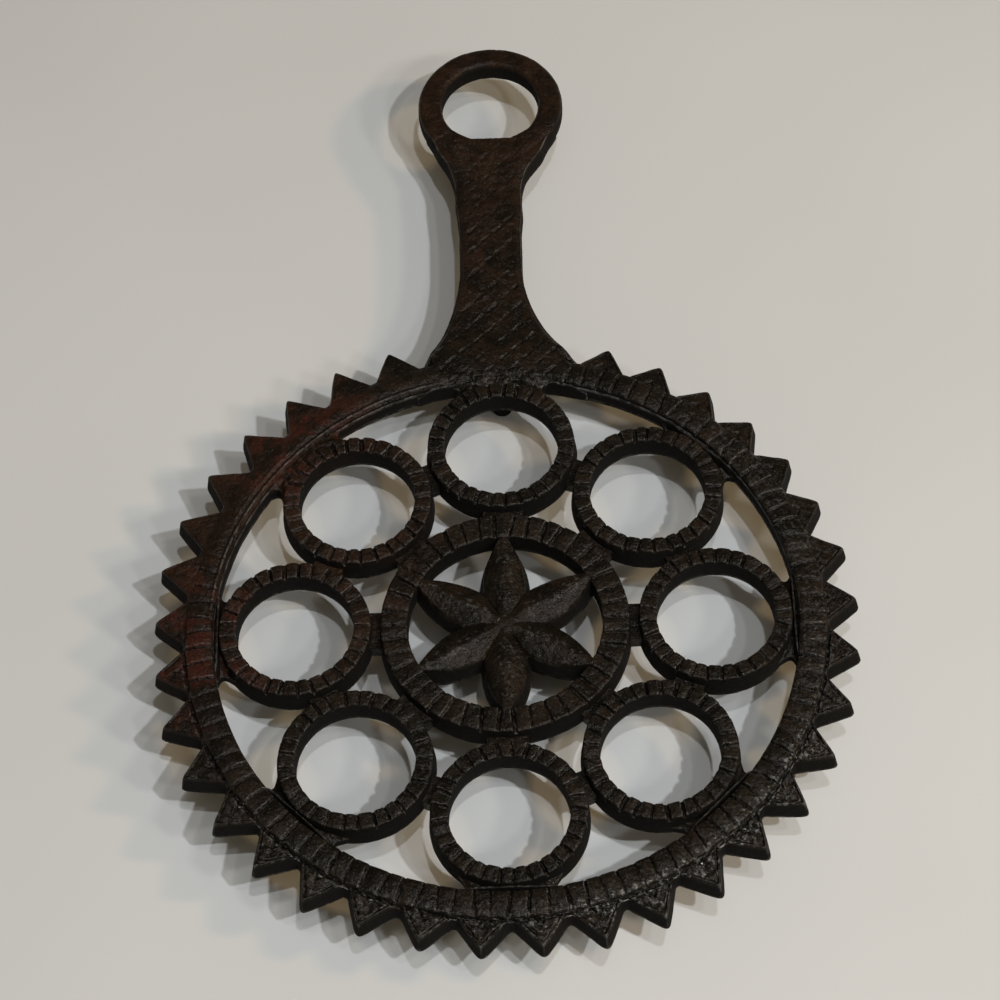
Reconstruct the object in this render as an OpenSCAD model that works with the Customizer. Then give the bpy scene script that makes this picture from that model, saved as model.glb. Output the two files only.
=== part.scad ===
// Cast-iron trivet: a toothed rim round eight rings and a six-petalled star, with a hanging handle.
// One casting stands on three feet. Each member of the casting is a solid of its own, face to face
// with its neighbours. +Z is up, +Y points along the handle and the feet stand on z = 0.

/* [Rim] */
// Diameter at the bottom of the teeth
root_d = 128; // [105:0.2:160]
// Height of the teeth
tooth_h = 5.8; // [4:0.1:9]
// Width of the rim from its opening to the bottom of the teeth
rim_w = 6.5; // [5.6:0.1:8]
// Thickness of the toothed plate and of the handle
plate_t = 4; // [2.4:0.1:4.6]
// Tooth pitches in a full turn
pitches = 37; // [29:2:45]
// Radius on the tooth tips
tip_round = 0.9; // [0.4:0.1:1.4]
// Width of the floor between two teeth
valley_w = 0.8; // [0.4:0.1:1.6]

/* [Reeded band] */
// Width of the ledge between the band and the bottom of the teeth
ledge_w = 1.1; // [0.6:0.1:2]
// Drop from the crown of the band to its shoulders
band_crown = 0.5; // [0.4:0.1:1.2]
// Distance from the opening of the rim to the foot of the band
band_set = 0.2; // [0.1:0.05:0.4]
// Ribs round the band
band_ribs = 108; // [72:2:120]

/* [Rings] */
// Height of the rings, the hub and the band above the underside
cast_h = 5.5; // [4.8:0.1:7]
// Number of rings
ring_count = 8; // [7:1:9]
// Width of a ring's top face
ring_w = 3.3; // [2.4:0.1:4.4]
// Least gap from a ring to the next ring and to the rim, closed by webs
ring_gap = 0.8; // [0.4:0.1:1.4]
// Ribs on a ring
ring_ribs = 29; // [20:1:34]
// Slope of the outer walls, as the growth of the radius toward the underside
draft = 0.5; // [0.2:0.1:0.8]
// Chamfer on the top edges of the rings and the hub
edge = 0.4; // [0.2:0.1:0.6]

/* [Hub and star] */
// Width of the hub ring's top face
hub_w = 5.2; // [3.6:0.1:6.4]
// Least gap from the hub ring to a ring, closed by webs
hub_gap = 1; // [0.5:0.1:1.6]
// Ribs on the hub ring
hub_ribs = 42; // [30:1:48]
// Number of petals in the star
petal_count = 6; // [5:1:7]
// Width of a petal
petal_w = 7.7; // [5:0.1:9]
// Height of a petal's ridge above the underside
ridge_h = 5; // [4.2:0.1:6.5]
// Drop from a petal's ridge to its edges
petal_fall = 1.3; // [0.6:0.1:2]
// Diameter of the boss in the middle of the star
boss_d = 5.2; // [3:0.1:8]
// Height of the boss
boss_h = 4.6; // [3.8:0.1:5.5]

/* [Ribbing] */
// Width of a groove between two ribs
groove_w = 0.7; // [0.4:0.1:1]
// Depth of a groove
groove_depth = 0.5; // [0.2:0.1:0.8]

/* [Webs] */
// Height of the webs above the underside
web_h = 3; // [1.5:0.1:3.2]
// Width of a web between a ring and the rim
rim_web_w = 19; // [8:0.5:22]
// Width of a web between two rings
ring_web_w = 6; // [3:0.5:10]
// Width of a web between a ring and the hub
hub_web_w = 8; // [4:0.5:12]

/* [Handle] */
// Tooth pitches that the root of the handle takes
root_pitches = 3; // [2:1:4]
// Width of the handle at its waist
waist_w = 12.8; // [9:0.1:18]
// Length of the flare, from the bottom of the teeth to the waist
flare_len = 24.5; // [18:0.5:32]
// Length of the straight waist
waist_len = 8; // [2:0.5:14]
// Length of the neck, from the waist to the middle of the eye
neck_len = 33.7; // [28:0.1:42]
// Distance short of the eye at which the sides of the neck end
neck_seat = 1.2; // [0.8:0.1:2]
// How far the waist lies to the left of the centreline
waist_lean = 1.4; // [0:0.1:2]
// Distance between the crossed grooves along the handle
hatch_pitch = 5.2; // [3:0.1:8]
// Angle of the crossed grooves to the length of the handle
hatch_a = 45; // [35:1:55]
// Plain border beside the crossed grooves
border_w = 1.3; // [0.8:0.1:2.5]

/* [Hanging eye] */
// How far the eye lies to the left of the centreline
eye_lean = 0.8; // [0:0.1:2]
// Diameter of the hole in the eye
eye_bore_d = 21; // [16:0.1:24]
// Width of the eye's ring
eye_w = 5.3; // [4:0.1:7]
// Thickness of the eye's ring
eye_t = 4.4; // [3.2:0.1:5.5]
// Radius on the edges of the eye's ring
eye_round = 1.4; // [0.6:0.1:1.8]

/* [Feet] */
// Height of the feet
foot_h = 11.8; // [6:0.1:20]
// Diameter of a foot where it leaves the rim
foot_base_d = 5.6; // [4.4:0.1:6]
// Diameter of a foot above its rounded end
foot_tip_d = 4.4; // [3:0.1:5]
// Radius on the end of a foot
foot_round = 1.2; // [0.6:0.1:1.8]
// Number of feet
foot_count = 3; // [3:1:4]

/* [Hidden] */
$fn = 96;

// One overrun serves every cut
over = 1;

// Degrees between the corners of a rounded edge
round_step = 15;

// Rim and teeth
root_r = root_d / 2;
tip_r = root_r + tooth_h;
rim_bore_r = root_r - rim_w;
pitch_a = 360 / pitches;
valley_a = valley_w / root_r * 180 / PI;
tip_steps = 3;
root_steps = 8;
first_tip_a = 90 + (root_pitches + 1) * pitch_a / 2;
tooth_count = pitches - root_pitches;

// Rings, set so that they clear the rim and one another by the same gap
half_step = sin(180 / ring_count);
ring_r = ((rim_bore_r - ring_gap) * half_step - ring_gap / 2) / (1 + half_step);
ring_circle_r = rim_bore_r - ring_gap - ring_r;
ring_top_r = ring_r - draft;
ring_bore_r = ring_top_r - ring_w;

// Hub and star
hub_r = ring_circle_r - ring_r - hub_gap;
hub_top_r = hub_r - draft;
hub_bore_r = hub_top_r - hub_w;
petal_steps = 12;
petal_power = 3;
petal_widest_share = 0.6;
petal_taper_share = 0.7;

// Levels
under_z = foot_h;
deck_z = under_z + plate_t;
top_z = under_z + cast_h;

// Band on the plate
band_in_r = rim_bore_r + band_set;
band_out_r = root_r - ledge_w;
band_w = band_out_r - band_in_r;
band_rise = cast_h - plate_t;
band_steps = 6;

// Handle root, waist, neck and eye, one after another along the handle
root_a = 90 - root_pitches * pitch_a / 2;
root_x = root_r * cos(root_a + valley_a / 2);
root_y = root_r * sin(root_a + valley_a / 2);
waist_y = root_r + flare_len;
neck_y = waist_y + waist_len;
eye_y = neck_y + neck_len;
eye_r = eye_bore_d / 2 + eye_w;

// The lowest point of the tooth outline and the far end of the eye share the length about y = 0
front_y = min([for (i = [0:tooth_count - 1]) tip_r * sin(tip_a(i))]);
disc_y = -(eye_y + eye_r + front_y) / 2;

// Feet stand midway between the opening of the rim and the bottom of the teeth
foot_circle_r = (rim_bore_r + root_r) / 2;

// Angle of tooth i, counted from the left of the handle
function tip_a(i) = first_tip_a + i * pitch_a;

// Angle of ring i, the first one beside the handle
function ring_a(i) = 90 + (i - 1) * 360 / ring_count;

// Point at radius r and angle a about the middle of the disc
function around(r, a) = [r * cos(a), r * sin(a)];

// Outline of the tooth whose tip lies at angle a, from one valley over the rounded tip to the next
function tooth_points(a) =
    let (
        half = (pitch_a - valley_a) / 2,
        round_r = tip_r - tip_round,
        valley = around(root_r, half),
        run = norm([round_r - valley.x, valley.y]),
        turn = 90 + atan2(-valley.y, round_r - valley.x) + asin(tip_round / run)
    )
    concat(
        [around(root_r, a - half)],
        [for (k = [-tip_steps:tip_steps]) around(round_r, a) + around(tip_round, a + turn * k / tip_steps)],
        [around(root_r, a + half)]
    );

// Bottom of the teeth under the handle, from its right side to its left
function root_points() =
    let (from_a = root_a + valley_a / 2, sweep_a = 2 * (90 - from_a))
    [for (k = [0:root_steps]) around(root_r, from_a + sweep_a * k / root_steps)];

// Half width of a petal at distance r from the middle of the star
function petal_half(r) =
    let (
        widest_r = hub_bore_r * petal_widest_share,
        s = abs(r - widest_r) / (r < widest_r ? widest_r : hub_bore_r - widest_r)
    )
    min(r * tan(180 / petal_count), petal_w / 2 * (1 - petal_taper_share * pow(min(s, 1), petal_power)));

// Radius of the flare on the side whose waist lies at x
function flare_r(x) =
    let (dx = root_x - abs(x), dy = waist_y - root_y)
    (dx * dx + dy * dy) / (2 * dx);

// Radius of the neck that runs from the waist at x tangent to the eye
function neck_r(x) =
    let (a = abs(x + eye_lean), dy = eye_y - neck_y)
    (a * a + dy * dy - eye_r * eye_r) / (2 * (eye_r - a));

// Places what is drawn about the middle of the disc
module on_disc(z = 0) {
    translate([0, disc_y, z]) children();
}

// Radial grooves round a ring of radii r1 to r2, cut down from z = 0
module grooves(count, r1, r2) {
    for (i = [0:count - 1])
        rotate([0, 0, (i + 0.5) * 360 / count])
            translate([r1 - over, -groove_w / 2, -groove_depth])
                cube([r2 - r1 + 2 * over, groove_w, groove_depth + over]);
}

// Outer body of a drafted ring, solid through
module drafted_plug(r_top, r_under, h) {
    cylinder(r1 = r_under, r2 = r_top, h = h);
}

// Ring with a straight bore, a drafted outer wall and chamfered, ribbed top
module ribbed_ring(bore_r, r_top, r_under, ribs) {
    slope = (r_under - r_top) / cast_h;
    difference() {
        rotate_extrude()
            polygon([
                [bore_r, 0],
                [r_under, 0],
                [r_top + slope * edge, cast_h - edge],
                [r_top - edge, cast_h],
                [bore_r + edge, cast_h],
                [bore_r, cast_h - edge]
            ]);
        translate([0, 0, cast_h]) grooves(ribs, bore_r, r_top);
    }
}

// Plate of the rim with its teeth
module toothed_rim() {
    color("#2c2521") on_disc(under_z)
        difference() {
            linear_extrude(height = plate_t)
                polygon(concat([for (i = [0:tooth_count - 1]) each tooth_points(tip_a(i))], root_points()));
            translate([0, 0, -over]) cylinder(r = rim_bore_r, h = plate_t + 2 * over);
        }
}

// Convex band of ribs on the plate
module reeded_band() {
    mid_r = (band_in_r + band_out_r) / 2;
    color("#332b26") on_disc(deck_z)
        difference() {
            rotate_extrude()
                polygon(concat(
                    [[band_in_r, 0], [band_out_r, 0]],
                    [for (k = [-band_steps:band_steps])
                        [mid_r - (band_w / 2 - draft) * k / band_steps,
                         band_rise - band_crown * k * k / (band_steps * band_steps)]]
                ));
            translate([0, 0, band_rise]) grooves(band_ribs, band_in_r, band_out_r);
        }
}

// One of the rings
module ring(i) {
    color("#2f2824") on_disc(under_z)
        rotate([0, 0, ring_a(i)])
            translate([ring_circle_r, 0, 0])
                ribbed_ring(ring_bore_r, ring_top_r, ring_r, ring_ribs);
}

// Ring round the star
module hub_ring() {
    color("#2f2824") on_disc(under_z)
        ribbed_ring(hub_bore_r, hub_top_r, hub_r, hub_ribs);
}

// Round boss in the middle of the star
module star_boss() {
    color("#332c28") on_disc(under_z) cylinder(d = boss_d, h = boss_h);
}

// Outline of a petal along +X, from the middle of the star past the hub's bore
module petal_outline() {
    reach = hub_bore_r + over;
    shares = [for (k = [0:petal_steps]) k / petal_steps];
    polygon(concat(
        [for (s = shares) [reach * s, petal_half(reach * s)]],
        [for (k = [petal_steps:-1:1]) [reach * shares[k], -petal_half(reach * shares[k])]]
    ));
}

// One petal with a ridge along its middle
module petal(i) {
    reach = hub_bore_r + over;
    color("#352e29") on_disc(under_z)
        rotate([0, 0, 90 + (i - 1) * 360 / petal_count])
            difference() {
                intersection() {
                    linear_extrude(height = ridge_h) petal_outline();
                    rotate([90, 0, 90])
                        linear_extrude(height = reach)
                            polygon([
                                [-petal_w, 0],
                                [petal_w, 0],
                                [petal_w, ridge_h - 2 * petal_fall],
                                [0, ridge_h],
                                [-petal_w, ridge_h - 2 * petal_fall]
                            ]);
                    cylinder(r = hub_bore_r, h = cast_h);
                }
                translate([0, 0, -over]) cylinder(d = boss_d, h = ridge_h + 2 * over);
            }
}

// Webs between the rings and the rim
module rim_webs() {
    color("#241f1c") on_disc(under_z)
        for (i = [1:ring_count])
            rotate([0, 0, ring_a(i)])
                difference() {
                    intersection() {
                        cylinder(r = rim_bore_r, h = web_h);
                        translate([ring_circle_r, -rim_web_w / 2, 0])
                            cube([ring_circle_r, rim_web_w, web_h]);
                    }
                    translate([ring_circle_r, 0, 0]) drafted_plug(ring_top_r, ring_r, cast_h);
                }
}

// Webs between neighbouring rings
module ring_webs() {
    reach = ring_circle_r * cos(180 / ring_count);
    color("#241f1c") on_disc(under_z)
        for (i = [1:ring_count])
            difference() {
                rotate([0, 0, ring_a(i) + 180 / ring_count])
                    translate([reach - ring_web_w / 2, -ring_gap - ring_w / 2, 0])
                        cube([ring_web_w, 2 * ring_gap + ring_w, web_h]);
                for (k = [i, i + 1])
                    rotate([0, 0, ring_a(k)])
                        translate([ring_circle_r, 0, 0]) drafted_plug(ring_top_r, ring_r, cast_h);
            }
}

// Webs between the rings and the hub
module hub_webs() {
    color("#241f1c") on_disc(under_z)
        for (i = [1:ring_count])
            rotate([0, 0, ring_a(i)])
                difference() {
                    translate([hub_bore_r, -hub_web_w / 2, 0])
                        cube([ring_circle_r - hub_bore_r, hub_web_w, web_h]);
                    drafted_plug(hub_top_r, hub_r, cast_h);
                    translate([ring_circle_r, 0, 0]) drafted_plug(ring_top_r, ring_r, cast_h);
                }
}

// Side cuts of the handle on the side (-1 or 1), set in by inset
module handle_side(side, inset, h) {
    x = side * waist_w / 2 - waist_lean;
    flare = flare_r(x);
    neck = neck_r(x);
    end_y = eye_y - (eye_y - neck_y) * eye_r / (neck + eye_r) - neck_seat;
    translate([side > 0 ? -eye_lean : -eye_lean - 2 * eye_r, end_y, -over])
        cube([2 * eye_r, eye_y, h + 2 * over]);
    translate([x + side * flare, waist_y, -over]) cylinder(r = flare + inset, h = h + 2 * over);
    translate([x + side * neck, neck_y, -over]) cylinder(r = neck + inset, h = h + 2 * over);
    translate([side > 0 ? x - inset : x + inset - waist_w, waist_y, -over])
        cube([waist_w, waist_len, h + 2 * over]);
}

// Solid of the handle from inside the rim to the eye, its sides set in by inset
module handle_body(inset, h) {
    half = root_x + over;
    difference() {
        translate([-half, root_y - root_x, 0]) cube([2 * half, eye_y, h]);
        handle_side(1, inset, h);
        handle_side(-1, inset, h);
    }
}

// Rounded disc that the eye is cut from
module eye_blank() {
    core_r = eye_r - eye_round;
    rotate_extrude()
        polygon(concat(
            [[0, 0]],
            [for (a = [-90:round_step:0]) [core_r, eye_round] + around(eye_round, a)],
            [for (a = [0:round_step:90]) [core_r, eye_t - eye_round] + around(eye_round, a)],
            [[0, eye_t]]
        ));
}

// Crossed grooves along the handle, centred on its waist
module hatching() {
    reach = 2 * root_x;
    below = ceil((waist_y - root_y + root_x) / hatch_pitch);
    above = ceil((eye_y - waist_y) / hatch_pitch);
    for (k = [-below:above])
        for (side = [-1, 1])
            translate([-waist_lean, waist_y + k * hatch_pitch, 0])
                rotate([0, 0, side * (90 - hatch_a)])
                    translate([-reach, -groove_w / 2, -groove_depth])
                        cube([2 * reach, groove_w, groove_depth + over]);
}

// Flat handle with crossed grooves
module handle() {
    rim_side = [[-root_r, root_y], [-root_r, 0], [root_r, 0], [root_r, root_y]];
    color("#30271f") on_disc(under_z)
        difference() {
            handle_body(0, plate_t);
            translate([0, 0, -over])
                linear_extrude(height = plate_t + 2 * over) polygon(concat(root_points(), rim_side));
            translate([-eye_lean, eye_y, 0]) {
                eye_blank();
                cylinder(r = eye_r - eye_round, h = plate_t + over);
            }
            translate([0, 0, plate_t])
                intersection() {
                    hatching();
                    translate([0, 0, -groove_depth]) handle_body(border_w, groove_depth + over);
                }
        }
}

// Rounded ring at the end of the handle
module hanging_eye() {
    color("#3a2c23") on_disc(under_z)
        translate([-eye_lean, eye_y, 0])
            difference() {
                eye_blank();
                translate([0, 0, -over]) cylinder(d = eye_bore_d, h = eye_t + 2 * over);
            }
}

// One tapered foot under the rim
module foot(i) {
    color("#2a2320") on_disc()
        rotate([0, 0, 90 + (i - 1) * 360 / foot_count])
            translate([foot_circle_r, 0, 0])
                rotate_extrude()
                    polygon(concat(
                        [[0, 0]],
                        [for (a = [-90:round_step:0])
                            [foot_tip_d / 2 - foot_round, foot_round] + around(foot_round, a)],
                        [[foot_base_d / 2, foot_h], [0, foot_h]]
                    ));
}

toothed_rim();
reeded_band();
for (i = [1:ring_count])
    ring(i);
hub_ring();
star_boss();
for (i = [1:petal_count])
    petal(i);
rim_webs();
ring_webs();
hub_webs();
handle();
hanging_eye();
for (i = [1:foot_count])
    foot(i);
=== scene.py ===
"""Cast-iron trivet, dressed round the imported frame: teeth, reeding, star, handle and their casting skin."""
import math
import random

import bmesh
import bpy
from mathutils import Matrix, Vector, noise


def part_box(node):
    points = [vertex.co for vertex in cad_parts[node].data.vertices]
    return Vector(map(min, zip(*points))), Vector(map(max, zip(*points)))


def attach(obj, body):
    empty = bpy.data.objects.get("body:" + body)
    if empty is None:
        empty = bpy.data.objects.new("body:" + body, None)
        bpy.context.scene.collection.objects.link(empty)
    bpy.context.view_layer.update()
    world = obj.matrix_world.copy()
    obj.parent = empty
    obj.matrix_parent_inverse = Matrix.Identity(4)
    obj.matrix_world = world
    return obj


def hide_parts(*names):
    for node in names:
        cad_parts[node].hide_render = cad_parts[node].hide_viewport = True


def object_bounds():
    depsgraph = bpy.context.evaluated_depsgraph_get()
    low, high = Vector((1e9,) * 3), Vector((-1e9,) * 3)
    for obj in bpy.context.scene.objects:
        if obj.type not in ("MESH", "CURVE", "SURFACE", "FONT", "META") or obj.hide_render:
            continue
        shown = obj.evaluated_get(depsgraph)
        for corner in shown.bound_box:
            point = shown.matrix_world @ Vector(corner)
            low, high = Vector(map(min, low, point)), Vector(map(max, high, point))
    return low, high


bl_info = {
    "name": "Cast-iron trivet",
    "version": (1, 0, 0),
    "blender": (4, 5, 0),
    "location": "3D View > Sidebar > Trivet",
    "description": "Builds a toothed cast-iron trivet with reeded rings, a star and a hatched handle",
    "category": "Object",
}

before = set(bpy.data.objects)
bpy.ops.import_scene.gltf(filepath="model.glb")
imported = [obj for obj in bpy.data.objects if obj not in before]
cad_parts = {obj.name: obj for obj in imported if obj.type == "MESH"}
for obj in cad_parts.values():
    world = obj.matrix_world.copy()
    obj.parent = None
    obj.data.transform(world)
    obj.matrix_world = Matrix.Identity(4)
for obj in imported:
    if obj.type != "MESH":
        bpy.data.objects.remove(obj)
cad_low, cad_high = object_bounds()

MM = 0.001


def corners(node):
    """Lowest and highest corner of a CAD node in millimetres."""
    low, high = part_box(node)
    return low / MM, high / MM


def middle(node):
    """Middle of a CAD node's box in millimetres."""
    low, high = corners(node)
    return (low + high) / 2


def half_width(node):
    """Half the width of a CAD node's box in millimetres."""
    low, high = corners(node)
    return (high.x - low.x) / 2


# Places and sizes that come from the solids, in millimetres
DISC = middle("reeded_band")
UNDER_Z = corners("toothed_rim")[0].z
DECK_Z = corners("toothed_rim")[1].z
TOP_Z = corners("ring_1")[1].z
TIP_R = half_width("toothed_rim")
BAND_OUT_R = half_width("reeded_band")
RING_R = half_width("ring_1")
RING_CIRCLE_R = middle("ring_1").y - DISC.y
HUB_R = half_width("hub_ring")
BOSS_R = half_width("star_boss")
EYE = middle("hanging_eye")
EYE_R = half_width("hanging_eye")
EYE_TOP_Z = corners("hanging_eye")[1].z
FOOT_BASE_R = half_width("foot_1")
RING_NODES = sorted(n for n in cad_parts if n.startswith("ring_") and n != "ring_webs")
PETAL_NODES = sorted(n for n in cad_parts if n.startswith("petal_"))
FOOT_NODES = sorted(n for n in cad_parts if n.startswith("foot_"))

# Way from the middle of the disc to the handle, the first ring and the first petal
FIRST_ANGLE = math.pi / 2

# Wear of the ribs, in millimetres or as shares of the groove's own depth
RIB_FADE = 2.6
RIB_DEPTH = 1.15
RIB_WEAR = 0.5
RIB_TILT = 1.2
RIB_SOFTNESS = 0.26
RIB_WAVER = 0.16
RIB_ROUNDING = 0.20
RIB_PITTING = 0.09

# Teeth: their rounded tips, drafted walls and scored lines
TIP_SHARPENING = 0.75
TIP_SHARPNESS = 2.6
TIP_BLEND = 6
TOOTH_DRAFT = 0.7
TOOTH_ROUNDING = 0.55
TOOTH_SHOULDER = 0.28
LINE_SPACING = 2.45
LINE_WIDTH = 0.50
LINE_SOFTNESS = 0.32
LINE_DEPTH = 0.60
FIRST_LINE = 1.2
SEAM_PLACE = 0.35
SEAM_WIDTH = 0.55
SEAM_DEPTH = 0.55
PANEL_BORDER = 1.0
PANEL_DEPTH = 0.08

# Petals and boss of the star
PETAL_START = 1.3
PETAL_OVERLAP = 0.5
PETAL_WIDEST = 0.44
PETAL_NARROWING = 0.88
PETAL_WIDTH = 1.06
PETAL_FALL = 1.15
PETAL_DRAFT = 0.95
BOSS_DROP = 0.4

# Webs between the rings and the rim: the first ones are cast nearly level with the rim and have no fin
LEVEL_WEBS = 2
LEVEL_WEB_DROP = 1.0
WEB_HEIGHT = 2.6
WEB_HALF_LENGTH = 8.4
WEB_FLARE = 0.22
FIN_GAP = 0.42
FIN_DROP = 0.75

# Grooves of the handle: rising ones lie at steps of y - x and falling ones at steps of y + x
RISING_START, RISING_SPACING, RISING_COUNT = 43.4, 5.31, 15.3
RISING_CROWDING = 3.1
FALLING_START, FALLING_SPACING, FALLING_END = 50.2, 5.5, 123
GROOVE_DEPTH = 0.46
BORDER_WIDTH = 1.1

# Stretches of the handle, each given by its start and its length
ROOT_SINKS = (61.5, 3.5)
ROOT_FALLS = (62.5, 9)
BORDER_STARTS = (63.5, 4)
GROOVES_FADE = (94, 10)
BORDER_WIDENS = (98, 14)
EYE_RISES = (106, 13)
BORDER_FLATTENS = (108, 7)
EYE_TAKES_OVER = (111.5, 7.5)
SIDES_DRAWN_IN = (116.5, 5.0)

# Where the handle's end begins to follow the eye's hole, and how softly the sides leave the waist
HOLE_ROUNDS = 108
NECK_SOFTNESS = 0.45

# The rounded eye stands a little proud of the CAD's flat one and sinks where the handle meets it
EYE_SWELL = 0.35
EYE_CREST = (EYE_TOP_Z + TOP_Z) / 2 + EYE_SWELL
EYE_SINK = 1.9
EYE_FLAT = 0.9
HANDLE_FLAT = 1.0


def length(name, description, millimetres):
    """Length property given in millimetres and kept in metres."""
    return bpy.props.FloatProperty(name=name, description=description, default=millimetres * MM,
                                   unit="LENGTH", precision=5)


def colour(name, description, value):
    """Colour property."""
    return bpy.props.FloatVectorProperty(name=name, description=description, default=value, size=3,
                                         min=0, max=1, subtype="COLOR")


def whole(name, description, value):
    """Whole number property."""
    return bpy.props.IntProperty(name=name, description=description, default=value, min=1)


class TrivetSizes(bpy.types.PropertyGroup):
    """Sizes of the cast relief that the solids leave to the looks"""
    pitches: whole("Tooth pitches", "Tooth pitches in a full turn", 37)
    root_pitches: whole("Root pitches", "Pitches the handle takes", 3)
    band_ribs: whole("Band ribs", "Ribs round the rim's band", 108)
    ring_ribs: whole("Ring ribs", "Ribs on each ring", 29)
    hub_ribs: whole("Hub ribs", "Ribs on the hub ring", 42)
    rim_width: length("Rim width", "From the rim's opening to the bottom of the teeth", 6.5)
    tooth_height: length("Tooth height", "From the bottom of the teeth to their tips", 5.8)
    valley_width: length("Valley width", "Floor between two teeth", 0.8)
    ring_width: length("Ring width", "Top face of a ring", 3.3)
    hub_width: length("Hub width", "Top face of the hub ring", 5.2)
    draft: length("Draft", "How much the outer walls spread toward the underside", 0.5)
    groove_width: length("Groove width", "Groove between two ribs", 0.62)
    groove_depth: length("Groove depth", "Depth of a groove between ribs", 0.5)
    petal_width: length("Petal width", "Width of a petal at its widest", 7.7)
    ridge_height: length("Ridge height", "Petal ridge above the underside", 5.0)
    petal_fall: length("Petal fall", "Drop from a petal's ridge to its edges", 1.3)
    waist_width: length("Waist width", "Width of the handle at its waist", 12.8)
    waist_lean: length("Waist lean", "How far the waist lies left of the centreline", 1.4)
    waist_out: length("Waist place", "From the middle of the disc to the near end of the waist", 88.5)
    waist_length: length("Waist length", "Straight part of the waist", 8)
    eye_bore: length("Eye hole", "Diameter of the hole in the eye", 21)
    foot_tip: length("Foot tip", "Diameter of a foot above its rounded end", 4.4)
    skin: length("Casting skin", "How uneven the sand left the walls", 0.07)


class TrivetFinish(bpy.types.PropertyGroup):
    """Colours and gloss of the seasoned iron and of the stage"""
    iron: colour("Iron", "Seasoned iron in the open", (0.0070, 0.0050, 0.0029))
    brown: colour("Brown", "Where the seasoning has gone brown", (0.0152, 0.0070, 0.0033))
    rust: colour("Rust", "Reddest part of the rim", (0.0270, 0.0060, 0.0032))
    # Painted shade: dark colour laid in the grooves and on the walls, where shade falls
    groove_and_wall_shade: colour("Grime", "Dirt and oil in the grooves", (0.0020, 0.0015, 0.0010))
    # Bare-metal colour, laid on worn edges and as painted highlight on edges and on the lit lower right
    bare_metal_and_glint: colour("Bare metal", "Rubbed edges of the ribs", (0.40, 0.37, 0.32))
    roughness: bpy.props.FloatProperty(name="Roughness", description="Roughness of the oiled skin",
                                       default=0.25, subtype="FACTOR", min=0, max=1)
    floor: colour("Floor", "Plain paper under the trivet", (0.590, 0.558, 0.492))


def smooth(t):
    """0 below 0, 1 above 1 and an even S between."""
    t = min(max(t, 0.0), 1.0)
    return t * t * (3 - 2 * t)


def past(value, stretch):
    """0 before a stretch given by its start and its length, 1 after it."""
    start, extent = stretch
    return smooth((value - start) / extent)


def within(value, low, high, soft):
    """1 between low and high, falling to 0 over soft outside them."""
    return smooth((value - low) / soft + 1) * smooth((high - value) / soft + 1)


def notch(distance, width, soft=0.3):
    """1 on the floor of a groove of that width, 0 outside it."""
    return 1 - smooth((abs(distance) - width / 2) / soft + 0.5)


def grain(point, scale, seed=0.0):
    """Even noise between about -1 and 1, with features 1 / scale millimetres wide."""
    return noise.noise(Vector((point.x * scale + seed, point.y * scale - seed, point.z * scale + 3 * seed)))


def ripple(x, y, scale, seed):
    """The same noise over a flat place."""
    return noise.noise(Vector((x * scale, y * scale, seed)))


def degrees_of(angle):
    """Angle in degrees from 0 to 360, anticlockwise from the right."""
    return math.degrees(angle) % 360


def polar(co, centre):
    """Distance and angle of a point about an upright axis."""
    dx, dy = co.x - centre.x, co.y - centre.y
    return math.hypot(dx, dy), math.atan2(dy, dx)


def rim_opening(sizes):
    """Distance from the middle of the disc to the rim's opening."""
    return TIP_R - (sizes.tooth_height + sizes.rim_width) / MM


def tooth_root(sizes):
    """Distance from the middle of the disc to the floors between the teeth."""
    return TIP_R - sizes.tooth_height / MM


def draw_section(bm, centre, section, closed=True):
    """Edges of a section (distance out, height) in the upright plane through centre."""
    verts = [bm.verts.new((centre.x + r, centre.y, z)) for r, z in section]
    following = verts[1:] + verts[:1] if closed else verts[1:]
    return [bm.edges.new(pair) for pair in zip(verts, following)]


def refine(bm, edges, spacing):
    """Cuts each edge into parts no longer than spacing."""
    groups = {}
    for edge in edges:
        cuts = math.ceil(edge.calc_length() / spacing) - 1
        if cuts > 0:
            groups.setdefault(cuts, []).append(edge)
    for cuts, group in sorted(groups.items()):
        bmesh.ops.subdivide_edges(bm, edges=group, cuts=cuts)


def full_turn(bm, centre, steps):
    """Spins what is in the mesh through a part of a turn, copies that round and joins the seams."""
    parts = 16
    middle_point = (centre.x, centre.y, 0)
    swept = math.tau / parts
    bmesh.ops.spin(bm, geom=bm.verts[:] + bm.edges[:], cent=middle_point, axis=(0, 0, 1), dvec=(0, 0, 0),
                   angle=swept, steps=math.ceil(steps / parts), use_merge=False, use_duplicate=False)
    while swept < math.tau - 0.01:
        copy = bmesh.ops.duplicate(bm, geom=bm.verts[:] + bm.edges[:] + bm.faces[:])["geom"]
        bmesh.ops.rotate(bm, cent=middle_point, matrix=Matrix.Rotation(swept, 3, "Z"),
                         verts=[g for g in copy if isinstance(g, bmesh.types.BMVert)])
        swept *= 2
    bmesh.ops.remove_doubles(bm, verts=bm.verts, dist=0.002)
    bmesh.ops.recalc_face_normals(bm, faces=bm.faces)


def spun(section, centre, steps, fine_z, fine, coarse):
    """Closed section (distance out, height) spun a full turn; its edges above fine_z are cut finely."""
    bm = bmesh.new()
    edges = draw_section(bm, centre, section)
    upper = [e for e in edges if min(v.co.z for v in e.verts) >= fine_z]
    lower = [e for e in edges if e not in upper]
    refine(bm, upper, fine)
    refine(bm, lower, coarse)
    full_turn(bm, centre, steps)
    return bm


def turned_piece(name, node, centre, section, spacing, seed):
    """Piece turned about an upright axis from a section that starts and ends on it."""
    bm = bmesh.new()
    refine(bm, draw_section(bm, centre, section, closed=False), spacing)
    full_turn(bm, centre, 48)
    finish_piece(name, bm, [node], seed)


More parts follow.
